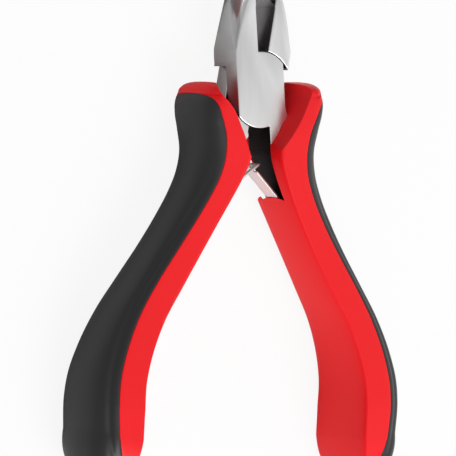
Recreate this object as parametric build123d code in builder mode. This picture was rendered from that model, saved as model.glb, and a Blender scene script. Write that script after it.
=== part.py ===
import os
from math import cos, radians, sin

from build123d import *

# Bent nose pliers with sprung handles, lying flat.
# The origin is the centre of the pivot. +Y runs to the nose, +Z up through the pivot.
# Each half is drawn as it stands when the jaws are shut, then swung open about Z.

# Opening
open_angle = 15.6  # degrees between the two jaws at rest
half_open = open_angle / 2

# Head
head_half = 4.05  # half of the head's thickness
flank = 6.5  # pivot axis to the side of the head
lap_radius = 8.4  # the round lap faces about the pivot
lap_clearance = 0.15  # round lap face to the shoulder of the other half
lap_gap = 0.06  # between the two lap faces
jaw_top = 13.0  # where the sides of the head start to taper
jaw_relief = 0.2  # how far the throat stands back from the closing plane
grip_start = 18.6  # where the gripping faces begin
grip_clearance = 0.06  # each gripping face to the closing plane

# Nose, a tapered round bar bent towards +Z and split down its middle
nose_base = 4.0
nose_taper = 0.28  # radius lost per unit of length up to the bend
bend_start = 23.5
bend_radius = 12.0
bend_angle = 50.0
bend_steps = 5
tip_length = 7.0
bend_start_radius = 3.6
bend_end_radius = 2.3
tip_radius = 1.25
tip_rounding = 0.4

# Pivot rivet
rivet_radius = 2.2
rivet_head_radius = 3.4
rivet_head_height = 1.2
rivet_clearance = 0.05

# Tangs, the steel bars inside the grips
tang_throat = 1.75  # closing plane to the tang, below the head
tang_width = 5.2
tang_bend = 14.0  # below the pivot
knee = (6.2, -26.0)  # where the spring's foot starts
tang_low = (10.6, -33.5)
tang_tip = (21.5, -56.0)
tang_tip_width = 5.2

# Leaf springs
leaf_thickness = 0.5
leaf_width = 3.6
leaf_cross = 17.6  # pivot to the place where the leaves cross
leaf_foot = 6.5  # length of the foot on the tang
leaf_past = 2.0  # crossing to the tip of the tongue
leaf_bend = 1.2
tongue_width = 1.5
shoulder_back = 0.9  # from the crossing back to the shoulders
slot_clearance = 0.25
slot_reach = 1.0  # crossing to each end of the slot
foot_rivet_radius = 0.9
foot_rivet_head = 1.5
foot_rivet_head_height = 0.5
foot_rivet_depth = 2.5
foot_rivet_along = 4.0  # knee to the foot rivet

# Grips
grip_half = 7.8  # half of the grip's thickness at the head
inner_bulge = 1.1  # how far the inner side stands out at mid thickness
inner_angles = (-45, 0, 45)
outer_angles = (90, 60, 30, 0, -30, -60, -90)
cap_angles = (32, 60, 80)
cap_power = 0.6  # below 1 the ends of the grip are blunt
top_centre = 10.4  # the sections close towards this place at the lobe
top_rise = 2.8
end_centre = 23.0
end_rise = 10.0
head_clearance = 0.3  # grip to the moving head
window_end = (6.55, -26.6)  # where the opening over the tang stops
swing_room = 21.0  # degrees the other lap can swing past the shut pose
scoop_over = 1.2  # the scoop's cutter stands this far above the grip
pad_thickness = 1.8
pad_lip = 1.2  # thickness of the pad at its edge, front and back
rest_half = 8.9  # half thickness at the flats that the tool rests on
seam_shift = 0.15  # from the edge of the flat face to the pad
groove_shift = 2.3  # from the edge of the flat face to the groove
groove_width = 0.7
groove_depth = 0.45
pocket_clearance = 0.15

far = 60.0  # reaches past every piece

# Sections across the grip: place along it, half thickness, inner and outer edge of the
# flat face, and how far the rounded side reaches past that face
grip_rows = [
    (-2.2, 7.8, 5.2, 12.8, 3.3),
    (-4.3, 7.9, 4.2, 12.9, 3.8),
    (-7.0, 7.9, 3.4, 12.0, 4.6),
    (-10.0, 7.8, 2.9, 10.4, 5.4),
    (-15.0, 7.4, 2.5, 9.1, 5.2),
    (-20.0, 7.0, 3.7, 9.3, 5.2),
    (-25.0, 6.7, 5.5, 10.8, 5.0),
    (-31.0, 6.5, 8.0, 13.4, 4.8),
    (-38.0, 6.5, 11.1, 17.0, 4.5),
    (-46.0, 6.8, 14.8, 21.3, 4.4),
    (-54.0, 7.3, 18.5, 25.0, 4.8),
    (-62.0, 8.0, 20.8, 27.3, 5.3),
    (-68.0, 8.5, 21.5, 28.1, 5.7),
    (-74.0, 9.0, 21.0, 27.7, 6.0),
    (-80.0, 9.0, 20.2, 26.4, 6.3),
]
# Seam between shell and pad above and below those sections
seam_top = [(22.0, -3.2), (17.0, -3.3), (15.4, -4.0), (13.8, -5.6), (12.1, -7.9)]
seam_end = [(24.3, -84.6), (21.0, -87.2), (15.0, -88.6), (8.0, -89.0)]
groove_top = [(22.0, -5.6), (17.2, -6.0), (15.2, -7.6)]
groove_end = [(26.2, -86.0), (22.0, -89.2), (15.0, -91.0)]
# Edge of the scoop on the head's face and above the grip's face
scoop_low = [
    (8.0, 3.0),
    (6.9, -2.0),
    (6.3, -4.2),
    (5.6, -6.0),
    (4.5, -7.7),
    (3.4, -9.5),
    (1.9, -11.5),
    (-1.0, -14.5),
]
scoop_high = [
    (13.3, 3.5),
    (11.8, -1.9),
    (10.9, -3.9),
    (9.4, -6.3),
    (7.8, -8.4),
    (5.8, -10.7),
    (3.5, -12.8),
    (0.3, -16.0),
]


def capped(row, angle, centre, rise):
    # The row at one end of the grip, moved out and drawn in to round the end off.
    along, half, inner, edge, reach = row
    share = cos(radians(angle)) ** cap_power
    inner = centre + (inner - centre) * share
    edge = centre + (edge - centre) * share
    return (along + rise * sin(radians(angle)), half * share, inner, edge, reach * share)


def make_envelope(lip, inset, spread):
    # The whole grip, or with lip, inset and spread the block that the pad lies on.
    body = [
        (along, half - lip, inner - spread, edge, reach - inset)
        for along, half, inner, edge, reach in grip_rows
    ]
    rows = [capped(body[0], angle, top_centre, top_rise - inset) for angle in cap_angles[::-1]]
    rows += body
    rows += [capped(body[-1], angle, end_centre, inset - end_rise) for angle in cap_angles]
    with BuildPart() as envelope:
        for along, half, inner, edge, reach in rows:
            points = [(inner, -half)]
            for angle in inner_angles:
                turn = radians(angle)
                points.append((inner - inner_bulge * cos(turn), half * sin(turn)))
            points.append((inner, half))
            for angle in outer_angles:
                turn = radians(angle)
                points.append((edge + reach * cos(turn), half * sin(turn)))
            with BuildSketch(Plane(origin=(0, along, 0), x_dir=(1, 0, 0), z_dir=(0, -1, 0))):
                with BuildLine():
                    Polyline(*points, close=True)
                make_face()
        loft(ruled=True)
        for side in (-1, 1):
            with BuildSketch(Plane.XY.offset(side * rest_half)):
                Rectangle(4 * far, 4 * far)
            extrude(amount=side * far, mode=Mode.SUBTRACT)
    return envelope.part


def beside_edge(shift, top, end):
    # A line along the grip at one distance from the edge of the flat face.
    return top + [(row[3] + shift, row[0]) for row in grip_rows[3:]] + end


def make_groove():
    # Cutter for the groove that follows the seam all round the pad.
    with BuildPart() as groove:
        with BuildSketch(Plane.XY.offset(-far)):
            with BuildLine():
                Polyline(*beside_edge(groove_shift, groove_top, groove_end))
            trace(line_width=groove_width)
        extrude(amount=2 * far)
        add(make_envelope(groove_depth, groove_depth, 0), mode=Mode.SUBTRACT)
    return groove.part


def nose_plane(centre, tilt):
    # A plane square to the nose's centre line where that line climbs by tilt degrees.
    along = (0, cos(radians(tilt)), sin(radians(tilt)))
    return Plane(origin=centre, x_dir=(1, 0, 0), z_dir=along)


def bend_point(tilt):
    # Centre of the nose on its bend, where it has turned by tilt degrees.
    turn = radians(tilt)
    return Vector(0, bend_start + bend_radius * sin(turn), bend_radius * (1 - cos(turn)))


def nose_sections():
    # Sections across the nose: a plane and a radius each.
    base_radius = bend_start_radius + nose_taper * (bend_start - nose_base)
    sections = [(nose_plane((0, nose_base, 0), 0), base_radius)]
    for step in range(bend_steps + 1):
        share = step / bend_steps
        tilt = bend_angle * share
        radius = bend_start_radius + (bend_end_radius - bend_start_radius) * share
        sections.append((nose_plane(bend_point(tilt), tilt), radius))
    end = sections[-1][0]
    sections.append((end.offset(tip_length), tip_radius))
    return sections


def make_jaw(jaw_side):
    # Half of the tapered round bar, with flats where it meets the head.
    flats_end = bend_start - (head_half - bend_start_radius) / nose_taper
    with BuildPart() as jaw:
        for plane, radius in nose_sections():
            with BuildSketch(plane):
                Circle(radius)
                with Locations((jaw_side * (far / 2 + grip_clearance), 0)):
                    Rectangle(far, far, mode=Mode.INTERSECT)
        loft(ruled=True)
        chamfer(jaw.faces().sort_by(Axis.Y)[-1].edges(), tip_rounding)
        for side in (-1, 1):
            with BuildSketch(Plane.XY.offset(side * head_half)):
                with Locations((0, flats_end / 2)):
                    Rectangle(far, flats_end)
            extrude(amount=side * far, mode=Mode.SUBTRACT)
        # Side of the jaw, straight at the joint and drawn in towards the nose
        with BuildSketch(Plane.XY.offset(-far)):
            with BuildLine():
                side_line = Polyline(
                    (jaw_side * flank, nose_base),
                    (jaw_side * flank, lap_radius),
                    (jaw_side * (flank - 0.4), jaw_top),
                    (jaw_side * (flank - 1.7), grip_start + 1),
                    (jaw_side * (flank - 2.4), bend_start),
                )
                Polyline(
                    side_line @ 1,
                    (jaw_side * far, bend_start),
                    (jaw_side * far, 0),
                    (jaw_side * flank, 0),
                    side_line @ 0,
                )
            make_face()
        extrude(amount=2 * far, mode=Mode.SUBTRACT)
        # Throat, set back from the gripping face
        with BuildSketch(Plane.XY.offset(-far)):
            Rectangle(2 * jaw_relief, 2 * grip_start)
        extrude(amount=2 * far, mode=Mode.SUBTRACT)
    return jaw.part


def make_lever(jaw_side, layer, bore_radius, sink):
    # One forging: a jaw on jaw_side, half of the lap at layer, a tang on the other side.
    tang_side = -jaw_side
    with BuildPart() as lever:
        add(make_jaw(jaw_side))
        # Tang
        with BuildSketch(Plane.XY.offset(-head_half)):
            with BuildLine():
                FilletPolyline(
                    (tang_side * tang_throat, 0),
                    (tang_side * tang_throat, -tang_bend),
                    (tang_side * knee[0], knee[1]),
                    (tang_side * tang_low[0], tang_low[1]),
                    (tang_side * tang_tip[0], tang_tip[1]),
                    (tang_side * (tang_tip[0] + tang_tip_width), tang_tip[1]),
                    (tang_side * (knee[0] + tang_width), knee[1]),
                    (tang_side * (tang_throat + tang_width + 1.9), -tang_bend),
                    (tang_side * flank, -lap_radius / 2),
                    (tang_side * flank, 0),
                    radius=1.5,
                )
                Line((tang_side * flank, 0), (tang_side * tang_throat, 0))
            make_face()
        extrude(amount=2 * head_half)
        # Room for the other half's round lap
        with BuildSketch(Plane.XY.offset(-layer * far)):
            Circle(lap_radius + lap_clearance)
        extrude(amount=layer * (far + lap_gap / 2), mode=Mode.SUBTRACT)
        # Half of the lap
        with BuildSketch(Plane.XY.offset(layer * lap_gap / 2)):
            Circle(lap_radius)
            Rectangle(2 * flank, far, mode=Mode.INTERSECT)
        extrude(amount=layer * (head_half - lap_gap / 2))
        with Locations(Plane.XY.offset(layer * head_half)):
            Hole(bore_radius)
        # Countersink for the rivet's head
        with BuildSketch(Plane.XY.offset(layer * head_half)):
            Circle(rivet_head_radius + sink)
        with BuildSketch(Plane.XY.offset(layer * (head_half - rivet_head_height))):
            Circle(bore_radius)
        loft(mode=Mode.SUBTRACT)
    return lever.part


def make_grip_blank():
    # Everything on the pad's side of the line between shell and pad, less the shell's core.
    with BuildPart() as blank:
        with BuildSketch(Plane.XY.offset(-far)):
            with BuildLine():
                seam = beside_edge(seam_shift, seam_top, seam_end)
                Polyline(*seam, (seam[-1][0], -2 * far), (far, -2 * far), (far, seam[0][1]), close=True)
            make_face()
        extrude(amount=2 * far)
        add(make_envelope(pad_lip, pad_thickness, 1.0), mode=Mode.SUBTRACT)
    return blank.part


def make_shell(envelope, blank, moving_layer):
    # The red shell. moving_layer is the side of the other lever's lap.
    with BuildPart() as shell:
        add(envelope)
        add(blank, mode=Mode.SUBTRACT)
        # Room for the head
        with BuildSketch(Plane.XY.offset(-head_half)):
            Circle(lap_radius + head_clearance)
            Rectangle(2 * (flank + head_clearance), far, mode=Mode.INTERSECT)
        extrude(amount=2 * head_half, mode=Mode.SUBTRACT)
        # Room for the other lap as it swings
        with BuildSketch(Plane.XY):
            Rectangle(2 * (flank + head_clearance), far, rotation=-swing_room)
            Circle(lap_radius + head_clearance, mode=Mode.INTERSECT)
        extrude(amount=moving_layer * head_half, mode=Mode.SUBTRACT)
        # Scoops that clear the faces of the head
        for side in (-1, 1):
            for line, height in ((scoop_low, head_half), (scoop_high, grip_half + scoop_over)):
                with BuildSketch(Plane.XY.offset(side * height)):
                    with BuildLine():
                        Polyline(*line, (-far, line[-1][1]), (-far, line[0][1]), close=True)
                    make_face()
            loft(ruled=True, mode=Mode.SUBTRACT)
        # Window over the tang's inner face
        with BuildSketch(Plane.XY.offset(-head_half)):
            with BuildLine():
                Polyline(
                    (-far, 0),
                    (tang_throat, 0),
                    (tang_throat, -tang_bend),
                    window_end,
                    (-far, window_end[1]),
                    close=True,
                )
            make_face()
        extrude(amount=2 * head_half, mode=Mode.SUBTRACT)
        # Pocket for the spring's foot and for the head of its rivet
        for start, length, depth, half in (
            (-1.4, leaf_foot + 1.6, leaf_thickness + 0.1, leaf_width / 2 + pocket_clearance),
            (
                foot_rivet_along - foot_rivet_head - pocket_clearance,
                2 * (foot_rivet_head + pocket_clearance),
                leaf_thickness + foot_rivet_head_height + 0.1,
                foot_rivet_head + pocket_clearance,
            ),
        ):
            with BuildSketch(foot_plane.offset(-half)):
                with Locations((start, 0)):
                    Rectangle(length, depth, align=(Align.MIN, Align.MIN))
            extrude(amount=2 * half, mode=Mode.SUBTRACT)
    return shell.part


def make_leaf(has_tongue):
    # Leaf spring of the right half: a foot on the tang and an arm over to the other side.
    arm = (leaf_centre - leaf_knee).normalized()
    with BuildPart() as leaf:
        with BuildSketch(Plane.XY.offset(-leaf_width / 2)):
            with BuildLine():
                FilletPolyline(
                    leaf_knee + foot_plane.x_dir * leaf_foot,
                    leaf_knee,
                    leaf_centre + arm * leaf_past,
                    radius=leaf_bend,
                )
            trace(line_width=leaf_thickness)
        extrude(amount=leaf_width)
        arm_plane = Plane(origin=leaf_centre, x_dir=arm, z_dir=(0, 0, 1))
        if has_tongue:
            for side in (-1, 1):
                with BuildSketch(arm_plane.offset(side * tongue_width / 2)):
                    with Locations((-shoulder_back, 0)):
                        Rectangle(10, 3, align=(Align.MIN, Align.CENTER))
                extrude(amount=side * leaf_width, mode=Mode.SUBTRACT)
        else:
            slot_half = tongue_width / 2 + slot_clearance
            with BuildSketch(arm_plane.offset(-slot_half)):
                Rectangle(2 * slot_reach, 3)
            extrude(amount=2 * slot_half, mode=Mode.SUBTRACT)
        with BuildSketch(rivet_plane.offset(-leaf_thickness)):
            Circle(foot_rivet_radius)
        extrude(amount=3 * leaf_thickness, mode=Mode.SUBTRACT)
    return leaf.part


# Plane along the foot of the right leaf: x runs down the tang, y away from it
foot_dir = (Vector(*tang_low) - Vector(*knee)).normalized()
foot_plane = Plane(origin=knee, x_dir=foot_dir, z_dir=(0, 0, -1))
leaf_knee = Vector(*knee) + foot_plane.y_dir * (leaf_thickness / 2)
leaf_centre = Vector(-leaf_cross * sin(radians(half_open)), -leaf_cross * cos(radians(half_open)))
rivet_point = Vector(*knee) + foot_dir * foot_rivet_along
rivet_plane = Plane(origin=rivet_point, x_dir=(0, 0, 1), z_dir=foot_plane.y_dir)

envelope = make_envelope(0, 0, 0) - make_groove()
blank = make_grip_blank()
pad = envelope & blank

with BuildPart() as foot_rivet:
    with BuildSketch(rivet_plane.offset(-foot_rivet_depth)):
        Circle(foot_rivet_radius)
    extrude(amount=foot_rivet_depth + leaf_thickness)
    with BuildSketch(rivet_plane.offset(leaf_thickness)):
        Circle(foot_rivet_head)
    extrude(amount=foot_rivet_head_height)

with BuildPart() as foot_bore:
    with BuildSketch(rivet_plane.offset(-foot_rivet_depth)):
        Circle(foot_rivet_radius)
    extrude(amount=foot_rivet_depth + 1)

front_lever = make_lever(-1, 1, rivet_radius, 0) - foot_bore.part
back_lever = make_lever(1, -1, rivet_radius + rivet_clearance, rivet_clearance)
back_lever = back_lever - mirror(foot_bore.part, about=Plane.YZ)
right_shell = make_shell(envelope, blank, -1) - front_lever - foot_bore.part
left_shell = mirror(make_shell(envelope, blank, 1) - foot_bore.part, about=Plane.YZ) - back_lever

with BuildPart() as pivot_rivet:
    with BuildSketch(Plane.XY.offset(-head_half)):
        Circle(rivet_radius)
    extrude(amount=2 * head_half)
    for layer in (-1, 1):
        with BuildSketch(Plane.XY.offset(layer * head_half)):
            Circle(rivet_head_radius)
        with BuildSketch(Plane.XY.offset(layer * (head_half - rivet_head_height))):
            Circle(rivet_radius)
        loft()

os.makedirs("parts", exist_ok=True)
for name, part, turn in (
    ("front_lever", front_lever, half_open),
    ("back_lever", back_lever, -half_open),
    ("pivot_rivet", pivot_rivet.part, 0),
    ("right_grip_shell", right_shell, half_open),
    ("left_grip_shell", left_shell, -half_open),
    ("right_grip_pad", pad, half_open),
    ("left_grip_pad", mirror(pad, about=Plane.YZ), -half_open),
    ("tongue_spring", make_leaf(True), half_open),
    ("slotted_spring", mirror(make_leaf(False), about=Plane.YZ), -half_open),
    ("right_spring_rivet", foot_rivet.part, half_open),
    ("left_spring_rivet", mirror(foot_rivet.part, about=Plane.YZ), -half_open),
):
    placed = part.rotate(Axis.Z, turn)
    placed.label = name
    export_step(placed, f"parts/{name}.step")
    print(name, placed.is_valid, round(placed.volume, 1), len(placed.solids()))
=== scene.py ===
import math
from math import cos, pi, radians, sin

import bmesh
import bpy
from mathutils import Matrix, Vector
from mathutils.geometry import interpolate_bezier


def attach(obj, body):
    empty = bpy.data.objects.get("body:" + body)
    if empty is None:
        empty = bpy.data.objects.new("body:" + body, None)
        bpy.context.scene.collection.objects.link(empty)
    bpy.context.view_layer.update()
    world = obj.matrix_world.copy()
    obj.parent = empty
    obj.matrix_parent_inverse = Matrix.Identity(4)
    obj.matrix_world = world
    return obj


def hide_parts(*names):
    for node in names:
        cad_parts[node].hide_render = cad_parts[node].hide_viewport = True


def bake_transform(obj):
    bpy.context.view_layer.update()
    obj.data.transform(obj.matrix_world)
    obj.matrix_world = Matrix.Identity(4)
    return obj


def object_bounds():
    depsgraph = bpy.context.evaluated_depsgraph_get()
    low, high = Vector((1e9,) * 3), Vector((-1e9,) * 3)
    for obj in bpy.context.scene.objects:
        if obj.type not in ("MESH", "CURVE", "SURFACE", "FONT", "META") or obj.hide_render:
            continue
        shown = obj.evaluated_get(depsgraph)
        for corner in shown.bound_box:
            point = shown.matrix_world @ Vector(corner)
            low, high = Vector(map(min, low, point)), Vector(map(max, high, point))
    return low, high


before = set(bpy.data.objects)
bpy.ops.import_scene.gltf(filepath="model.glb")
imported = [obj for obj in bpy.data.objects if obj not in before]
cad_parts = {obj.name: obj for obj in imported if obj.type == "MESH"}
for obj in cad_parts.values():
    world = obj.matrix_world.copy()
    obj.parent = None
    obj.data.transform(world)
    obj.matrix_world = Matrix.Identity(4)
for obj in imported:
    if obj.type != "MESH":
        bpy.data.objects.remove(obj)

# Bent nose pliers. Meshes are shaped in millimetres with the jaws shut, then swung open.

cadBox = [list(corner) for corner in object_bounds()]
halfOpen = radians(7.8)
leftBody = "left_handle_half"
rightBody = "right_handle_half"
millimetre = 0.001
weld = 0.001  # millimetres
sharpAngle = radians(35)
headHalf = 4.05  # half the thickness of the head
far = 20  # cutters reach this far past the closing plane
below = 9  # and this far below the middle


# Small tools

def mix(a, b, share):
    return a + (b - a) * share


def clamp(value):
    return max(0.0, min(1.0, value))


def halfOf(side):
    # Name and body of the right half (1) or the left one (-1)
    return ("right", rightBody) if side > 0 else ("left", leftBody)


def arc(radius, start, end, steps):
    angles = [radians(start + i * (end - start) / steps) for i in range(steps + 1)]
    return [(radius * cos(angle), radius * sin(angle)) for angle in angles]


def smoothLine(points, steps):
    # Smooth line through flat points, steps per span
    knots = [Vector((point[0], point[1], 0)) for point in points]
    heads = []
    for i, knot in enumerate(knots):
        into = knot - knots[i - 1] if i else knots[1] - knot
        out = knots[i + 1] - knot if i < len(knots) - 1 else into
        heads.append((into.normalized() * out.length + out.normalized() * into.length).normalized())
    line = []
    for i in range(len(knots) - 1):
        reach = (knots[i + 1] - knots[i]).length / 3
        span = interpolate_bezier(knots[i], knots[i] + heads[i] * reach,
                                  knots[i + 1] - heads[i + 1] * reach, knots[i + 1], steps + 1)
        line += span[:-1]
    return line + [knots[-1]]


def valueAt(line, y):
    # Value of a (value, y) line at one y, the line runs downwards
    for upper, lower in zip(line, line[1:]):
        if y >= lower[1]:
            return mix(lower[0], upper[0], min(1.0, (y - lower[1]) / (upper[1] - lower[1])))
    return line[-1][0]


def loftRings(rings):
    # Grows a circle of vertices ring by ring through the given rings, closed at both ends
    bm = bmesh.new()
    ring = bmesh.ops.create_circle(bm, segments=len(rings[0]))["verts"]
    for vert, place in zip(ring, rings[0]):
        vert.co = place
    edges = bm.edges[:]
    bmesh.ops.contextual_create(bm, geom=edges)
    for places in rings[1:]:
        grown = bmesh.ops.extrude_edge_only(bm, edges=edges)["geom"]
        fresh = {item for item in grown if isinstance(item, bmesh.types.BMVert)}
        edges = [item for item in grown if isinstance(item, bmesh.types.BMEdge)
                 and item.verts[0] in fresh and item.verts[1] in fresh]
        after = {}
        for vert in fresh:
            for edge in vert.link_edges:
                if edge.other_vert(vert) not in fresh:
                    after[edge.other_vert(vert)] = vert
        ring = [after[vert] for vert in ring]
        for vert, place in zip(ring, places):
            vert.co = place
    bmesh.ops.contextual_create(bm, geom=edges)
    bmesh.ops.recalc_face_normals(bm, faces=bm.faces)
    return bm


def prism(points, low, high):
    return loftRings([[Vector((x, y, z)) for x, y in points] for z in (low, high)])


def asObject(bm, name):
    mesh = bpy.data.meshes.new(name)
    bm.to_mesh(mesh)
    bm.free()
    made = bpy.data.objects.new(name, mesh)
    bpy.context.scene.collection.objects.link(made)
    return made


def combine(base, tool, operation):
    # Boolean of two bmeshes, both are used up
    baseObject, toolObject = asObject(base, "baseTemp"), asObject(tool, "toolTemp")
    cut = baseObject.modifiers.new("cut", "BOOLEAN")
    cut.object, cut.operation, cut.solver = toolObject, operation, "EXACT"
    bpy.context.view_layer.update()
    seen = baseObject.evaluated_get(bpy.context.evaluated_depsgraph_get())
    mesh = bpy.data.meshes.new_from_object(seen)
    result = bmesh.new()
    result.from_mesh(mesh)
    for gone in (baseObject, toolObject):
        bpy.data.objects.remove(gone)
    bpy.data.meshes.remove(mesh)
    bmesh.ops.remove_doubles(result, verts=result.verts, dist=weld)
    return result


def softenEdges(bm, width, segments, wanted=lambda edge: True, angle=25):
    # Rounds the sharp edges that wanted(edge) accepts
    edges = [edge for edge in bm.edges if len(edge.link_faces) == 2
             and edge.calc_face_angle() > radians(angle) and wanted(edge)]
    bmesh.ops.bevel(bm, geom=edges, offset=width, offset_type="OFFSET", segments=segments,
                    profile=0.5, affect="EDGES", clamp_overlap=False, material=-1)


def mirrored(bm):
    bmesh.ops.scale(bm, vec=(-1, 1, 1), verts=bm.verts)
    bmesh.ops.reverse_faces(bm, faces=bm.faces)


def finishPiece(bm, name, materials, body, node, side=1, swing=True, bend=None):
    # Mirrors for the left side, swings open, scales to metres and joins the frame, unless bend is given,
    # which leaves the piece fixed in place.
    # For a piece that crosses the joint, bend holds the other body, the start and the end, which are not
    # used.
    if side < 0:
        mirrored(bm)
    if swing:
        turn = halfOpen if body == rightBody else -halfOpen
        bmesh.ops.rotate(bm, matrix=Matrix.Rotation(turn, 3, "Z"), verts=bm.verts)
    bmesh.ops.scale(bm, vec=(millimetre, millimetre, millimetre), verts=bm.verts)
    for face in bm.faces:
        face.smooth = True
    piece = asObject(bm, name)
    for material in materials:
        piece.data.materials.append(material)
    piece.data.set_sharp_from_angle(angle=sharpAngle)
    if bend:
        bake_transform(piece)
    else:
        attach(piece, body)
    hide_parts(node)
    print(f"made {name}: {len(piece.data.vertices)} vertices")


# Materials

steelLook = {
    "across": 2600.0, "along": 60.0, "darker": 0.93, "lighter": 1.06, "bump": 0.12, "depth": 0.00003,
}
plasticLook = {
    "scale": 900.0, "wander": 0.3, "slowScale": 120.0, "spread": 0.06, "coatRough": 0.18, "bump": 0.25,
}


def addNode(tree, kind, **values):
    node = tree.nodes.new(kind)
    for key, value in values.items():
        if key in node.inputs:
            node.inputs[key].default_value = value
        else:
            setattr(node, key, value)
    return node


def newGroup(name, inputs, output):
    # Node group with float inputs and one float output
    group = bpy.data.node_groups.new(name, "ShaderNodeTree")
    for label, value in inputs:
        made = group.interface.new_socket(name=label, in_out="INPUT", socket_type="NodeSocketFloat")
        made.default_value = value
    group.interface.new_socket(name=output, in_out="OUTPUT", socket_type="NodeSocketFloat")
    return group, group.nodes.new("NodeGroupInput"), group.nodes.new("NodeGroupOutput")


def fineGrainGroup():
    # Fine grain as a height: even specks with a slow wander
    inputs = (("Scale", plasticLook["scale"]), ("Wander", plasticLook["wander"]))
    group, start, end = newGroup("fineGrain", inputs, "Height")
    place = addNode(group, "ShaderNodeTexCoord")
    specks = addNode(group, "ShaderNodeTexNoise", Detail=3.0, Roughness=0.6)
    slow = addNode(group, "ShaderNodeTexNoise", Scale=plasticLook["slowScale"], Detail=2.0)
    both = addNode(group, "ShaderNodeMix", data_type="FLOAT")
    group.links.new(place.outputs["Object"], specks.inputs["Vector"])
    group.links.new(place.outputs["Object"], slow.inputs["Vector"])
    group.links.new(start.outputs["Scale"], specks.inputs["Scale"])
    group.links.new(start.outputs["Wander"], both.inputs[0])
    group.links.new(specks.outputs["Fac"], both.inputs[2])
    group.links.new(slow.outputs["Fac"], both.inputs[3])
    group.links.new(both.outputs[0], end.inputs["Height"])
    return group


def grindingGroup():
    # Long fine grinding marks along one direction, as a mask
    inputs = (("Across", steelLook["across"]), ("Along", steelLook["along"]), ("Turn", 0.0))
    group, start, end = newGroup("grindingMarks", inputs, "Mark")
    place = addNode(group, "ShaderNodeTexCoord")
    turn = addNode(group, "ShaderNodeCombineXYZ")
    scale = addNode(group, "ShaderNodeCombineXYZ")
    mapping = addNode(group, "ShaderNodeMapping")
    marks = addNode(group, "ShaderNodeTexNoise", Scale=1.0, Detail=4.0, Roughness=0.65)
    group.links.new(start.outputs["Turn"], turn.inputs["Z"])
    group.links.new(start.outputs["Across"], scale.inputs["X"])
    group.links.new(start.outputs["Along"], scale.inputs["Y"])
    group.links.new(start.outputs["Across"], scale.inputs["Z"])
    group.links.new(place.outputs["Object"], mapping.inputs["Vector"])
    group.links.new(turn.outputs["Vector"], mapping.inputs["Rotation"])
    group.links.new(scale.outputs["Vector"], mapping.inputs["Scale"])
    group.links.new(mapping.outputs["Vector"], marks.inputs["Vector"])
    group.links.new(marks.outputs["Fac"], end.inputs["Mark"])
    return group


grainGroup, marksGroup = fineGrainGroup(), grindingGroup()


def newMaterial(name, base, rough, metal):
    material = bpy.data.materials.new(name)
    material.use_nodes = True
    tree = material.node_tree
    shader = tree.nodes["Principled BSDF"]
    shader.inputs["Base Color"].default_value = (*base, 1)
    shader.inputs["Roughness"].default_value = rough
    shader.inputs["Metallic"].default_value = metal
    return material, tree, shader


def surfaceChange(tree, shader, source, rough, spread, bump):
    # One pattern changes the roughness around its mean and lifts the surface
    gloss = addNode(tree, "ShaderNodeMapRange")
    gloss.inputs["To Min"].default_value = rough - spread
    gloss.inputs["To Max"].default_value = rough + spread
    tree.links.new(source, gloss.inputs["Value"])
    tree.links.new(gloss.outputs["Result"], shader.inputs["Roughness"])
    tree.links.new(source, bump.inputs["Height"])
    tree.links.new(bump.outputs["Normal"], shader.inputs["Normal"])


def groundSteel(name, base, rough, spread, turn=0.0, across=steelLook["across"], along=steelLook["along"]):
    # Steel with fine grinding marks in its roughness, colour and bump
    material, tree, shader = newMaterial(name, base, rough, 1.0)
    marks = addNode(tree, "ShaderNodeGroup", node_tree=marksGroup)
    marks.inputs["Turn"].default_value = turn
    marks.inputs["Across"].default_value = across
    marks.inputs["Along"].default_value = along
    bump = addNode(tree, "ShaderNodeBump", Strength=steelLook["bump"], Distance=steelLook["depth"])
    surfaceChange(tree, shader, marks.outputs["Mark"], rough, spread, bump)
    tint = addNode(tree, "ShaderNodeMix", data_type="RGBA")
    tint.inputs[6].default_value = (*[value * steelLook["darker"] for value in base], 1)
    tint.inputs[7].default_value = (*[min(1, value * steelLook["lighter"]) for value in base], 1)
    tree.links.new(marks.outputs["Mark"], tint.inputs[0])
    tree.links.new(tint.outputs[2], shader.inputs["Base Color"])
    return material


def mouldedPlastic(name, base, rough, grainScale, grainDepth, coat=0.0, specular=0.5):
    # Moulded plastic with a fine grain and a slow change of gloss
    material, tree, shader = newMaterial(name, base, rough, 0.0)
    shader.inputs["Coat Weight"].default_value = coat
    shader.inputs["Coat Roughness"].default_value = plasticLook["coatRough"]
    shader.inputs["Specular IOR Level"].default_value = specular
    grain = addNode(tree, "ShaderNodeGroup", node_tree=grainGroup)
    grain.inputs["Scale"].default_value = grainScale
    bump = addNode(tree, "ShaderNodeBump", Strength=plasticLook["bump"], Distance=grainDepth)
    surfaceChange(tree, shader, grain.outputs["Height"], rough, plasticLook["spread"], bump)
    return material


groundFace = groundSteel("groundFace", (0.78, 0.78, 0.78), rough=0.34, spread=0.05, turn=0.1)
# Darker steel for the lever sides: a coarser grain, and painted shade in its darker grey
shadedSideSteel = groundSteel("shadedSideSteel", (0.5, 0.5, 0.5), rough=0.38, spread=0.03, across=700.0, along=500.0)
blackedSteel = groundSteel("blackedSteel", (0.014, 0.014, 0.015), rough=0.5, spread=0.08)
springSteel = groundSteel("springSteel", (0.86, 0.86, 0.85), rough=0.36, spread=0.05, turn=0.6)
redPlastic = mouldedPlastic("redPlastic", (0.93, 0.008, 0.013), rough=0.36, grainScale=1500.0,
                            grainDepth=0.00002, coat=0.06, specular=0.22)
blackRubber = mouldedPlastic("blackRubber", (0.014, 0.014, 0.015), rough=0.42, grainScale=1100.0,
                             grainDepth=0.00003)
print("materials are ready")


# Grips. Rows run down the grip: y, half thickness, inner edge, outer edge of the flat, and reach of
# the rounded side past it. Each pair of the scoop is its foot beside the head and its ridge in front.

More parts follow.
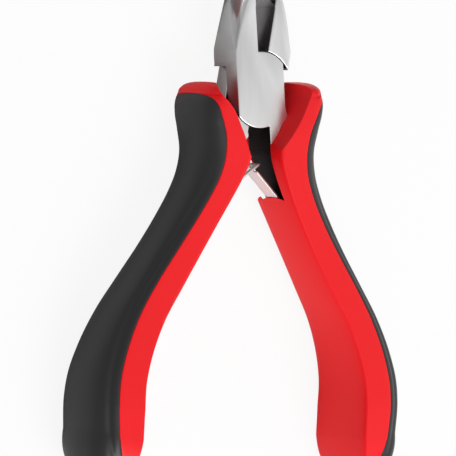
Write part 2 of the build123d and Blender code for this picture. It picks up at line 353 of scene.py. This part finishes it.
grip = {
    "rows": [(-2.2, 7.8, 5.2, 12.8, 3.3), (-4.3, 7.9, 4.2, 12.9, 3.8), (-7.0, 7.9, 3.4, 12.0, 4.6),
             (-10.0, 7.8, 2.9, 10.4, 5.4), (-15.0, 7.4, 2.5, 9.1, 5.2), (-20.0, 7.0, 3.7, 9.3, 5.2),
             (-25.0, 6.7, 5.5, 10.8, 5.0), (-31.0, 6.5, 8.0, 13.4, 4.8), (-38.0, 6.5, 11.1, 17.0, 4.5),
             (-46.0, 6.8, 14.8, 21.3, 4.4), (-54.0, 7.3, 18.5, 25.0, 4.8), (-62.0, 8.0, 20.8, 27.3, 5.3),
             (-68.0, 8.5, 21.5, 28.1, 5.7), (-74.0, 8.9, 21.0, 27.7, 5.95), (-80.0, 8.9, 20.2, 26.4, 6.25)],
    "lineSteps": 8, "restHalf": 8.89,
    # Rounded ends
    "topCentre": 10.4, "topRise": 2.7, "topAngles": [88, 82, 74, 66, 58, 50, 42, 34, 26, 18, 9],
    "endCentre": 23.0, "endRise": 9.8, "endAngles": [3 * k for k in range(1, 29)] + [87, 89], "capPower": 0.6,
    # Places of the sections between the ends: start, step and count
    "secondPlace": -2.3, "runs": [(-2.4, 0.08, 14), (-3.6, 0.2, 33), (-10.2, 0.6, 116)],
    # Bulged inner side
    "innerBulge": 1.05, "fullHalf": 6, "innerSteps": 17, "frontSteps": 9,
    # Seam between shell and pad
    "padTop": -2.4, "padWrap": -87.1, "padThickness": 1.8, "lip": 1.2, "lipRun": 1.2, "bedSteps": 4,
    "seamTop": [(17.0, -2.4), (15.4, -3.1), (13.7, -4.7), (12.0, -7.4)],
    "seamEnd": [(24.3, -84.6), (20.9, -87.2)], "seamShift": 0.15, "seamGap": 0.07, "seamSlack": 0.02,
    # Slight rounding of both lips beside the seam, as steps across and down
    "shellFlatEnd": 0.3, "shellNear": (0.1, 0.012), "shellLip": [(0.02, 0.06), (0, 0.16)],
    "padLip": [(0, 0.22), (0.03, 0.08)], "padLeast": 0.03,
    # Front of the pad and its groove
    "padMarks": [0.15, 0.6, 1.1, 1.5, 1.7, 1.85, 2.0, 2.12, 2.25, 2.4, 2.55, 2.75, 3.0, 3.4],
    "markWidth": 7, "padSink": 0.03, "grooveAt": 2.2, "grooveWidth": 0.85, "grooveDepth": 0.42,
    "grooveFrom": -17, "grooveFade": 14, "grooveEnd": -88, "grooveEndFade": 5, "sideSteps": 10,
    "stripSink": 0.04, "stripFade": 0.3, "stripStart": 0.5,
    # The two lobes don't stand at quite the same height
    "lobeLift": {1: 0.2, -1: -1.1}, "lobeEnd": -32, "lobeRun": 26,
    # Scooped shoulder beside the head
    "recess": 3.9, "ridge": 7.8, "scoopTop": 9.2, "scoopSteps": 4,
    "scoop": {
        1: [((9.8, 3.0), (12.6, 3.2)), ((8.9, -2.0), (11.0, -1.9)), ((7.9, -4.2), (9.9, -3.7)),
            ((6.8, -6.2), (8.4, -6.2)), ((5.2, -8.0), (7.0, -8.2)), ((3.9, -9.8), (5.2, -10.4)),
            ((2.2, -11.7), (3.1, -12.6)), ((-1.0, -14.5), (0.5, -15.4))],
        -1: [((14.0, 2.0), (18.0, 2.0)), ((12.0, -1.5), (15.2, -1.6)), ((10.2, -3.3), (13.2, -3.5)),
             ((8.2, -5.0), (10.8, -4.9)), ((6.6, -6.7), (9.0, -6.4)), ((5.0, -8.7), (7.1, -8.8)),
             ((3.6, -10.6), (5.4, -11.0)), ((0.6, -14.0), (2.6, -15.3))]},
    # Opening over the tang down to the spring, and the same behind it
    "window": [(-far, -8), (1.75, -8), (1.75, -14), (5.94, -25.3), (5.2, -25.7), (3.2, -22.9),
               (-far, -22.9)],
    "behind": [(-far, -10), (3.9, -10), (3.9, -14), (8.1, -25.0), (6.2, -26.2), (3.2, -22.9),
               (-far, -22.9)],
    "behindOver": 0.2, "recessOver": 0.05, "merge": 0.002,
}

rowLines = [smoothLine([(row[i], row[0]) for row in grip["rows"]], grip["lineSteps"])
            for i in (1, 2, 3, 4)]
seamLine = smoothLine(grip["seamTop"], grip["lineSteps"])
for k in range(20, 161):
    # Down the grip in steps of half a millimetre, along the outer edge of the flat
    y = -0.5 * k
    seamLine.append(Vector((valueAt(rowLines[2], y) + grip["seamShift"], y, 0)))
seamLine += smoothLine([seamLine[-1]] + grip["seamEnd"], grip["lineSteps"])[1:]


def gripSections():
    # Sections from the lobe to the lower end: y, half, inner, edge, reach
    def body(y):
        return [y] + [valueAt(line, y) for line in rowLines]

    def capped(row, angle, centre, rise):
        share = cos(radians(angle)) ** grip["capPower"]
        y, half, inner, edge, reach = row
        return [y + rise * sin(radians(angle)), half * share, mix(centre, inner, share),
                mix(centre, edge, share), reach * share]

    first, last = grip["rows"][0][0], grip["rows"][-1][0]
    places = [first, grip["secondPlace"]]
    for start, step, count in grip["runs"]:
        places += [start - step * k for k in range(count)]
    sections = [capped(body(first), angle, grip["topCentre"], grip["topRise"])
                for angle in grip["topAngles"]]
    sections += [body(y) for y in places + [last]]
    sections += [capped(body(last), angle, grip["endCentre"], -grip["endRise"])
                 for angle in grip["endAngles"]]
    for section in sections:
        section[1] = min(section[1], grip["restHalf"])
    return sections


def surfacePath(section, start, flatSteps=6, roundSteps=32):
    # Front surface from x = start to the side, dense, as (x, z), with its running lengths
    y, half, inner, edge, reach = section
    path = []
    turn = pi / 2
    if start < edge:
        path = [(mix(start, edge, k / flatSteps), half) for k in range(flatSteps)]
    else:
        turn = math.acos(min(1.0, (start - edge) / reach))
    for k in range(roundSteps + 1):
        angle = turn * (1 - k / roundSteps)
        path.append((edge + reach * cos(angle), half * sin(angle)))
    lengths = [0.0]
    for a, b in zip(path, path[1:]):
        lengths.append(lengths[-1] + math.dist(a, b))
    return path, lengths


def pointOn(path, lengths, distance):
    # Point and outward direction at a distance along a path
    for i in range(1, len(path)):
        if distance <= lengths[i] or i == len(path) - 1:
            a, b = path[i - 1], path[i]
            size = max(lengths[i] - lengths[i - 1], 1e-9)
            share = min(1.0, (distance - lengths[i - 1]) / size)
            out = Vector((a[1] - b[1], b[0] - a[0])).normalized()
            return Vector((mix(a[0], b[0], share), mix(a[1], b[1], share))), out


def bedPoints(section, seamX, ease):
    # Hidden bed between shell and pad, front to back
    y, half, inner, edge, reach = section
    steps = grip["bedSteps"]
    start = pi / 2 if seamX <= edge else math.acos(min(1.0, (seamX - edge) / reach))
    deep, low = grip["padThickness"] * ease, grip["lip"] * ease
    turns = [start * (1 - k / steps) for k in range(1, 2 * steps)]
    return [(edge + (reach - deep) * cos(turn), (half - low) * sin(turn)) for turn in turns]


def shellRing(section):
    # Ring of the red shell: inner side, front up to the seam, bed of the pad, back
    y, half, inner, edge, reach = section
    side = edge + reach
    seamX = min(side, valueAt(seamLine, y)) if y < grip["padTop"] else side
    ease = clamp((side - seamX) / grip["lipRun"])
    bulge = grip["innerBulge"] * min(1.0, half / grip["fullHalf"])
    turns = [mix(-pi / 2, pi / 2, k / grip["innerSteps"]) for k in range(grip["innerSteps"] + 1)]
    ring = [(inner - bulge * cos(turn), half * sin(turn)) for turn in turns]
    path, lengths = surfacePath(section, inner)
    whole = lengths[-1]
    if seamX < side:
        whole = lengths[-1] - surfacePath(section, seamX)[1][-1]
    steps = grip["frontSteps"]
    front = [pointOn(path, lengths, whole * k / steps)[0] for k in range(1, steps)]
    flatEnd = max(whole * (steps - 1) / steps, whole - grip["shellFlatEnd"] * ease)
    front[-1] = pointOn(path, lengths, flatEnd)[0]
    back, down = grip["shellNear"]
    near = pointOn(path, lengths, whole - back * ease)[0]
    seam = pointOn(path, lengths, whole)[0]
    front = [tuple(point) for point in front] + [(near.x, near.y - down * ease)]
    front += [(seam.x - back * ease, seam.y - down * ease) for back, down in grip["shellLip"]]
    front.append((seam.x, seam.y - grip["lip"] * ease))
    behind = [(x, -z) for x, z in reversed(front)]
    return [Vector((x, y, z)) for x, z in ring + front + bedPoints(section, seamX, ease) + behind]


def padRing(section, full=False):
    # Ring of the black pad: front from the seam to the side, back, bed. full wraps the whole end.
    y, half, inner, edge, reach = section
    side = edge + reach
    seamAt = valueAt(seamLine, y)
    slack = grip["seamSlack"]
    seamX = inner if full else min(side - slack, seamAt) + grip["seamGap"] * min(1.0, side - seamAt)
    ease = max(slack, min(1.0, (side - seamX) / grip["lipRun"]))
    path, lengths = surfacePath(section, seamX)
    whole = lengths[-1]
    scale = min(1.0, whole / grip["markWidth"])
    fade = clamp((grip["grooveFrom"] - y) / grip["grooveFade"])
    fade *= clamp((y - grip["grooveEnd"]) / grip["grooveEndFade"])
    start = pointOn(path, lengths, 0)[0]
    front = [(start.x, start.y - grip["lip"] * ease)]
    front += [(start.x + over * ease, start.y - down * ease) for over, down in grip["padLip"]]
    at, sideSteps = grip["grooveAt"], grip["sideSteps"]
    marks = [mark * scale for mark in grip["padMarks"]]
    marks += [mix(marks[-1], whole, k / sideSteps) for k in range(1, sideSteps + 1)]
    for mark in marks:
        point, out = pointOn(path, lengths, mark)
        drop = grip["grooveDepth"] * fade * math.exp(-((mark - at) / grip["grooveWidth"]) ** 2)
        strip = grip["stripSink"] * fade * clamp((at - mark) / grip["stripFade"])
        strip *= min(1.0, mark / grip["stripStart"])
        sink = drop + strip + grip["padSink"]
        front.append((point.x - out.x * sink, point.y - out.y * sink))
    behind = [(x, -z) for x, z in reversed(front[:-1])]
    bed = list(reversed(bedPoints(section, seamX, ease)))
    if full:
        bulge = grip["innerBulge"] * min(1.0, half / grip["fullHalf"])
        steps = 2 * grip["bedSteps"]
        turns = [mix(-pi / 2, pi / 2, k / steps) for k in range(1, steps)]
        bed = [(inner - bulge * cos(turn), half * sin(turn)) for turn in turns]
    return [Vector((x, y, z)) for x, z in front + behind + bed]


gripStations = gripSections()
padTop = next(i for i, section in enumerate(gripStations) if section[0] < grip["padTop"]
              and valueAt(seamLine, section[0]) < section[3] + section[4] - grip["padLeast"])
padWrap = next(i for i, section in enumerate(gripStations) if section[0] < grip["padWrap"])


def settleLobe(bm, side):
    for vert in bm.verts:
        share = clamp((vert.co.y - grip["lobeEnd"]) / grip["lobeRun"])
        vert.co.y += grip["lobeLift"][side] * share * share * (3 - 2 * share)


def makeShell(side):
    bm = loftRings([shellRing(section) for section in gripStations[:padWrap]])
    bmesh.ops.remove_doubles(bm, verts=bm.verts, dist=grip["merge"])
    settleLobe(bm, side)
    pairs, recess = grip["scoop"][side], grip["recess"]
    # The slope from the foot to the ridge runs on until it is clear of the front
    reach = (grip["scoopTop"] - recess) / (grip["ridge"] - recess)
    foot = smoothLine([low for low, high in pairs], grip["scoopSteps"])
    upper = [(mix(low[0], high[0], reach), mix(low[1], high[1], reach)) for low, high in pairs]
    brim = smoothLine(upper, grip["scoopSteps"])

    def closedLine(line):
        return [(-far, line[0].y)] + [(point.x, point.y) for point in line] + [(-far, line[-1].y)]

    for face in (1, -1):
        rings = [[Vector((x, y, face * height)) for x, y in closedLine(line)]
                 for line, height in ((foot, recess), (brim, grip["scoopTop"]))]
        bm = combine(bm, loftRings(rings), "DIFFERENCE")
    deep = recess + grip["recessOver"]
    bm = combine(bm, prism(closedLine(foot), -deep, deep), "DIFFERENCE")
    bm = combine(bm, prism(grip["window"], -headHalf, headHalf), "DIFFERENCE")
    bm = combine(bm, prism(grip["behind"], -below, -headHalf + grip["behindOver"]), "DIFFERENCE")
    name, body = halfOf(side)
    finishPiece(bm, name + "RedShell", [redPlastic], body, name + "_grip_shell", side)


def makePad(side):
    rings = [padRing(section) for section in gripStations[padTop:padWrap]]
    rings += [padRing(section, True) for section in gripStations[padWrap:]]
    bm = loftRings(rings)
    bmesh.ops.remove_doubles(bm, verts=bm.verts, dist=grip["merge"])
    settleLobe(bm, side)
    name, body = halfOf(side)
    finishPiece(bm, name + "SoftPad", [blackRubber], body, name + "_grip_pad", side)


for side in (1, -1):
    makeShell(side)
    makePad(side)
print("grips are done")


# Levers

lever = {
    "flank": 6.5, "flankLow": -4.2, "flankSteps": 8,
    "flankLine": [(0, 4.0), (0, 8.4), (-0.4, 13.0), (-1.7, 19.6), (-2.4, 23.5)],
    "lapRadius": 8.4, "upperArc": (88.6, 140.7, 16), "lowerArc": (258, 320.7, 18),
    "tang": [(-7.0, -6.6), (-8.4, -12.4), (-8.85, -14), (-12.4, -26), (-26.7, -56), (-21.5, -56),
             (-10.6, -33.5), (-6.2, -26), (-2.1, -15.0), (-1.75, -14)],
    "roomRadius": 8.55, "lapGap": 0.03, "roundSteps": 96, "relief": 0.2, "clearance": 0.06,
    "gripStart": 18.6, "bendStart": 23.5, "bendRadius": 12.0, "bendAngle": 50.0, "bendSteps": 16,
    "startRadius": 3.6, "taper": 0.28, "endRadius": 2.3, "tipRadius": 1.25, "tipLength": 6.65,
    "tipSteps": 5, "coneFrom": (6, 12, 18, 24.5), "coneWide": 75, "edge": 0.22, "noseEdge": 0.04,
    "reliefRun": 0.3, "flatAngle": 0.5, "belowStart": 0.1, "noseFrom": 0.05,
    # Which faces are blacked, and which sides get the darker steel of painted shade
    "facing": 0.7, "gripDeep": 0.6, "gripLow": 6, "jointHalf": 3.9, "jointTop": 8, "jointWide": 6.0,
    "jointLow": -6, "upright": 0.6,
}


def leverOutline():
    # Jaw on +X and tang on -X, with the round lap between them
    flank, start = lever["flank"], lever["gripStart"]
    points = [(lever["clearance"], lever["bendStart"]), (lever["clearance"], start),
              (lever["relief"], start - lever["reliefRun"])]
    points += arc(lever["lapRadius"], *lever["upperArc"])
    points += [(-flank, 0), (-flank, lever["flankLow"])] + lever["tang"]
    points += arc(lever["lapRadius"], *lever["lowerArc"])
    line = smoothLine([(flank + shift, y) for shift, y in lever["flankLine"]], lever["flankSteps"])
    return points + [(point.x, point.y) for point in line]


def noseCone():
    # Everything outside of this cone is cut from the jaw
    wide, places = lever["coneWide"], lever["coneFrom"]
    profile = [(0, -wide), (wide, -wide), (wide, places[0])]
    profile += [(lever["startRadius"] + lever["taper"] * (lever["bendStart"] - y), y) for y in places]
    profile += [(0, places[-1])]
    cone = bmesh.new()
    verts = [cone.verts.new((x, y, 0)) for x, y in profile]
    edges = [cone.edges.new(pair) for pair in zip(verts, verts[1:])]
    bmesh.ops.spin(cone, geom=verts + edges, cent=(0, 0, 0), axis=(0, 1, 0), angle=2 * pi,
                   steps=lever["roundSteps"], use_merge=True)
    bmesh.ops.remove_doubles(cone, verts=cone.verts, dist=weld)
    bmesh.ops.recalc_face_normals(cone, faces=cone.faces)
    return cone


def growNose(bm):
    # The nose grows from the end face along its bend, then straight to the tip.
    # Known fault: each step leaves its start face inside the nose.
    faces = [max(bm.faces, key=lambda item: item.calc_center_median().y)]
    steps, tipSteps = lever["bendSteps"], lever["tipSteps"]
    tilt = radians(lever["bendAngle"])
    spin = Matrix.Rotation(radians(lever["bendAngle"] / steps), 3, "X")
    pivot = Vector((0, lever["bendStart"], lever["bendRadius"]))
    radius, centre = lever["startRadius"], Vector((0, lever["bendStart"], 0))
    for step in range(steps + tipSteps):
        grown = bmesh.ops.extrude_face_region(bm, geom=faces)["geom"]
        faces = [item for item in grown if isinstance(item, bmesh.types.BMFace)]
        verts = [item for item in grown if isinstance(item, bmesh.types.BMVert)]
        if step < steps:
            bmesh.ops.rotate(bm, cent=pivot, matrix=spin, verts=verts)
            centre = pivot + spin @ (centre - pivot)
            fresh = mix(lever["startRadius"], lever["endRadius"], (step + 1) / steps)
        else:
            move = Vector((0, cos(tilt), sin(tilt))) * lever["tipLength"] / tipSteps
            bmesh.ops.translate(bm, vec=move, verts=verts)
            centre = centre + move
            fresh = mix(lever["endRadius"], lever["tipRadius"], (step + 1 - steps) / tipSteps)
        share = fresh / radius
        radius = fresh
        for vert in verts:
            vert.co = centre + (vert.co - centre) * share
    bmesh.ops.recalc_face_normals(bm, faces=bm.faces)


def makeLever(jawSide, name, body, node):
    bm = combine(prism(leverOutline(), -headHalf, headHalf), noseCone(), "INTERSECT")
    # Room for the other half's lap, on the layer away from this one
    radius, count = lever["roomRadius"], lever["roundSteps"]
    turns = [2 * pi * i / count for i in range(count)]
    room = [(radius * cos(turn), radius * sin(turn)) for turn in turns]
    bm = combine(bm, prism(room, -below, lever["lapGap"]), "DIFFERENCE")
    bmesh.ops.dissolve_limit(bm, angle_limit=radians(lever["flatAngle"]), verts=bm.verts,
                             edges=bm.edges)
    growNose(bm)
    # The lap is drawn on the front layer: the right jaw's lever swaps front and back below the nose.
    # Known faults of that lever: faces cross just below the bend, and those below it point inward.
    headTop = lever["bendStart"] - lever["belowStart"]
    noseLow = lever["bendStart"] - lever["noseFrom"]
    if jawSide > 0:
        for vert in bm.verts:
            if vert.co.y < headTop:
                vert.co.z = -vert.co.z
        bmesh.ops.recalc_face_normals(bm, faces=bm.faces)

    def lowEnd(edge):
        return min(vert.co.y for vert in edge.verts)

    softenEdges(bm, lever["edge"], 3, lambda edge: lowEnd(edge) < headTop)
    softenEdges(bm, lever["noseEdge"], 1, lambda edge: lowEnd(edge) > noseLow)
    if jawSide < 0:
        mirrored(bm)
    # Gripping faces and the faces inside the joint are blacked; the other sides get a darker steel with
    # coarser grain, its darkness painted shade
    bm.normal_update()
    for face in bm.faces:
        normal, centre = face.normal, face.calc_center_median()
        facing = abs(normal.x) > lever["facing"] and normal.x * jawSide < 0
        gripping = facing and abs(centre.x) < lever["gripDeep"] and centre.y > lever["gripLow"]
        inside = abs(centre.z) < lever["jointHalf"] and centre.y < lever["jointTop"]
        inside = inside and (abs(centre.x) < lever["jointWide"] or centre.y < lever["jointLow"])
        if gripping or inside:
            face.material_index = 1
        elif abs(normal.z) < lever["upright"]:
            face.material_index = 2
    finishPiece(bm, name, [groundFace, blackedSteel, shadedSideSteel], body, node)


makeLever(-1, "frontLever", rightBody, "front_lever")
makeLever(1, "backLever", leftBody, "back_lever")
print("levers are done")


# Leaf springs. Each leaf has a foot along the tang, a knee and an arm up to where the two cross.

spring = {
    "thickness": 0.5, "width": 3.9, "knee": (6.2, -26.0, 0), "tangLow": (10.6, -33.5, 0),
    "cross": 17.6, "lean": 0.8, "foot": 6.5, "footSteps": 6, "armSteps": 22, "past": 2.0,
    "kneeRound": 0.9, "kneeMarks": [-0.9, -0.6, -0.3, 0, 0.3, 0.6, 0.9],
    "tongue": 1.5, "shoulder": 0.9, "slotHalf": 1.0, "slotReach": 1.0, "edge": 0.07,
}
knee = Vector(spring["knee"])
footDir = (Vector(spring["tangLow"]) - knee).normalized()
leafKnee = knee + Vector((footDir.y, -footDir.x, 0)) * (spring["thickness"] / 2)


def leafPlace(mark, armDir):
    # Point on the leaf's line, mark is measured from the knee and below zero on the foot
    bend = spring["kneeRound"]
    if mark <= -bend:
        return leafKnee - footDir * mark
    if mark >= bend:
        return leafKnee + armDir * mark
    share = (mark + bend) / (2 * bend)
    a, b = leafKnee + footDir * bend, leafKnee + armDir * bend
    return a.lerp(leafKnee, share).lerp(leafKnee.lerp(b, share), share)


def makeLeaf(side, hasTongue):
    # The crossing is seen from the leaf's own half as it stands shut
    crossPoint = Matrix.Rotation(-halfOpen, 3, "Z") @ Vector((side * spring["lean"], -spring["cross"], 0))
    armDir = (crossPoint - leafKnee).normalized()
    armLength = (crossPoint - leafKnee).length + spring["past"]
    crossing = armLength - spring["past"]
    marks = [-spring["foot"] * (1 - i / spring["footSteps"]) for i in range(spring["footSteps"] - 1)]
    marks += spring["kneeMarks"]
    marks += [armLength * i / spring["armSteps"] for i in range(2, spring["armSteps"] + 1)]
    marks += [crossing - spring["shoulder"], crossing - spring["slotReach"], crossing + spring["slotReach"]]
    marks = sorted(set(round(mark, 4) for mark in marks))
    halves = (spring["tongue"] / 2, spring["slotHalf"], spring["width"] / 2)
    heights = [-half for half in reversed(halves)] + [0, *halves]
    bm = bmesh.new()
    bmesh.ops.create_grid(bm, x_segments=len(marks) - 1, y_segments=len(heights) - 1, size=1)
    for vert in bm.verts:
        mark = marks[round((vert.co.x + 1) / 2 * (len(marks) - 1))]
        height = heights[round((vert.co.y + 1) / 2 * (len(heights) - 1))]
        place = leafPlace(mark, armDir)
        vert.co = Vector((place.x, place.y, height))
    gone = []
    for face in bm.faces:
        centre = face.calc_center_median()
        along = (Vector((centre.x, centre.y, 0)) - leafKnee).dot(armDir)
        past, height = along - crossing, abs(centre.z)
        besideTongue = along > crossing - spring["shoulder"] and height > spring["tongue"] / 2
        inSlot = abs(past) < spring["slotReach"] and height < spring["slotHalf"]
        if besideTongue if hasTongue else inSlot:
            gone.append(face)
    bmesh.ops.delete(bm, geom=gone, context="FACES")
    bmesh.ops.recalc_face_normals(bm, faces=bm.faces)
    bmesh.ops.solidify(bm, geom=bm.faces[:], thickness=spring["thickness"])
    bmesh.ops.recalc_face_normals(bm, faces=bm.faces)
    softenEdges(bm, spring["edge"], 2, angle=60)
    # The knee and the crossing, swung open and in metres, are handed on with the other half's body as bend
    places = []
    for place in (leafKnee, crossPoint):
        opened = Matrix.Rotation(halfOpen, 3, "Z") @ place
        places.append(Vector((opened.x * side, opened.y, 0)) * millimetre)
    bend = (halfOf(-side)[1], places[0], places[1] * 2 - places[0])
    name, node = ("tongueLeaf", "tongue_spring") if hasTongue else ("slottedLeaf", "slotted_spring")
    finishPiece(bm, name, [springSteel], halfOf(side)[1], node, side, bend=bend)


makeLeaf(1, True)
makeLeaf(-1, False)
print("springs are done")


# Rivets

rivet = {"radius": 3.4, "front": 4.02, "back": -4.08, "edge": 0.12, "segments": 96}


def makePivotRivet():
    bm = bmesh.new()
    bmesh.ops.create_cone(bm, cap_ends=True, segments=rivet["segments"], radius1=rivet["radius"],
                          radius2=rivet["radius"], depth=rivet["front"] - rivet["back"])
    bmesh.ops.translate(bm, vec=(0, 0, (rivet["front"] + rivet["back"]) / 2), verts=bm.verts)
    softenEdges(bm, rivet["edge"], 3)
    finishPiece(bm, "pivotRivet", [groundFace], rightBody, "pivot_rivet", swing=False)


makePivotRivet()
for node in ("left_spring_rivet", "right_spring_rivet"):
    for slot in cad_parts[node].material_slots:
        slot.material = groundFace
print("rivets are done")


# Stage, light and camera

stageLook = {
    "floor": (0.9, 0.9, 0.9), "rough": 0.8, "specular": 0.1, "white": 0.9, "size": 3.0, "room": 0.45,
}
lamps = {  # place, target, size and power
    "mainSoftbox": ((0.14, -0.6, 0.58), (0, -0.02, 0), (0.6, 0.6), 4.9),
    "steelPanel": ((0.5, 0.02, 0.62), (0, 0, 0), (0.7, 0.7), 0.3),
    "rightSoftbox": ((0.8, -0.1, 0.35), (0, -0.02, 0), (0.5, 0.9), 0.7),
}
view = {
    "phi": 37.5927, "rise": 0.7845, "roll": 2.925, "distance": 883.8543, "across": -4.8879,
    "up": -30.4408, "lens": 317.175, "sensor": 36, "near": 0.01,
}


def makeFloor():
    bm = bmesh.new()
    bmesh.ops.create_grid(bm, x_segments=1, y_segments=1, size=stageLook["size"])
    bmesh.ops.translate(bm, vec=(0, 0, cadBox[0][2]), verts=bm.verts)
    floor = asObject(bm, "paleFloor")
    material, tree, shader = newMaterial("paleFloor", stageLook["floor"], stageLook["rough"], 0.0)
    shader.inputs["Specular IOR Level"].default_value = stageLook["specular"]
    # The camera sees the floor almost white, with a trace of the shadow left in it
    glow = addNode(tree, "ShaderNodeEmission", Strength=1.0)
    rays = addNode(tree, "ShaderNodeLightPath")
    share = addNode(tree, "ShaderNodeMath", operation="MULTIPLY")
    share.inputs[1].default_value = stageLook["white"]
    mixed = addNode(tree, "ShaderNodeMixShader")
    tree.links.new(rays.outputs["Is Camera Ray"], share.inputs[0])
    tree.links.new(share.outputs["Value"], mixed.inputs[0])
    tree.links.new(shader.outputs["BSDF"], mixed.inputs[1])
    tree.links.new(glow.outputs["Emission"], mixed.inputs[2])
    tree.links.new(mixed.outputs["Shader"], tree.nodes["Material Output"].inputs["Surface"])
    floor.data.materials.append(material)


def makeLamp(name, place, target, size, power):
    data = bpy.data.lights.new(name, "AREA")
    data.shape, data.size, data.size_y, data.energy = "RECTANGLE", size[0], size[1], power
    lamp = bpy.data.objects.new(name, data)
    lamp.location = place
    lamp.rotation_euler = (Vector(target) - Vector(place)).to_track_quat("-Z", "Y").to_euler()
    bpy.context.scene.collection.objects.link(lamp)


def makeRoom():
    world = bpy.data.worlds.new("paleRoom")
    world.use_nodes = True
    background = world.node_tree.nodes["Background"]
    background.inputs["Color"].default_value = (1, 1, 1, 1)
    background.inputs["Strength"].default_value = stageLook["room"]
    bpy.context.scene.world = world


def makeCamera():
    # At the photo's angle: phi to the left of the pivot's axis, rise above it
    phi, rise, roll = radians(view["phi"]), radians(view["rise"]), radians(view["roll"])
    back = Vector((-sin(phi) * cos(rise), sin(rise), cos(phi) * cos(rise)))
    across = Vector((0, 1, 0)).cross(back).normalized()
    up = back.cross(across)
    right = across * cos(roll) + up * sin(roll)
    top = up * cos(roll) - across * sin(roll)
    place = (back * view["distance"] + right * view["across"] + top * view["up"]) * millimetre
    data = bpy.data.cameras.new("photoCamera")
    data.lens, data.sensor_width, data.clip_start = view["lens"], view["sensor"], view["near"]
    camera = bpy.data.objects.new("photoCamera", data)
    camera.matrix_world = Matrix.Translation(place) @ Matrix((right, top, back)).transposed().to_4x4()
    bpy.context.scene.collection.objects.link(camera)
    bpy.context.scene.camera = camera


makeFloor()
for name, lamp in lamps.items():
    makeLamp(name, *lamp)
makeRoom()
makeCamera()
bpy.context.scene.view_settings.view_transform = "Standard"
print("stage is ready")
